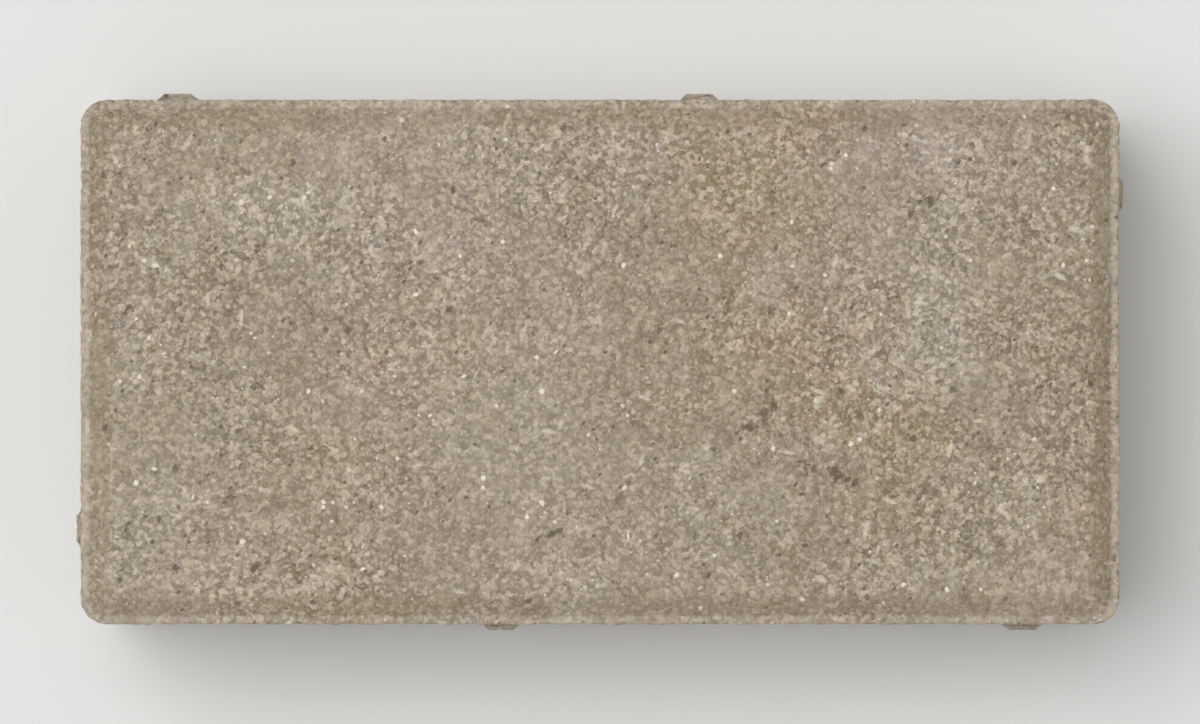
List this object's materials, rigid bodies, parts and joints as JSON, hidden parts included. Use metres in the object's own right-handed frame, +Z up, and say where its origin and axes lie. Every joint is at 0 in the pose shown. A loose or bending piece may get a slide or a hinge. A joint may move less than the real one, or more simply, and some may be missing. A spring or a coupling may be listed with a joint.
{
  "type": "concrete paving stone",
  "caption": "Rectangular concrete paving block with a level rim and shallow bevel round its walking face, and spacer ribs on its walls that keep laid blocks apart.",
  "frame": {"origin": "middle of the bed face, the flat underside that lies on the sand", "axes": "+X along the block's length, +Y across its width, +Z up out of the walking face"},
  "size_m": [0.201, 0.103, 0.06],
  "materials": {
    "pressed_concrete": "fine sandy pressed concrete, matt, warm grey, with paler worn arrises and faint lime bloom"
  },
  "bodies": {
    "root": {"paving_stone": "pressed_concrete"}
  },
  "joints": []
}
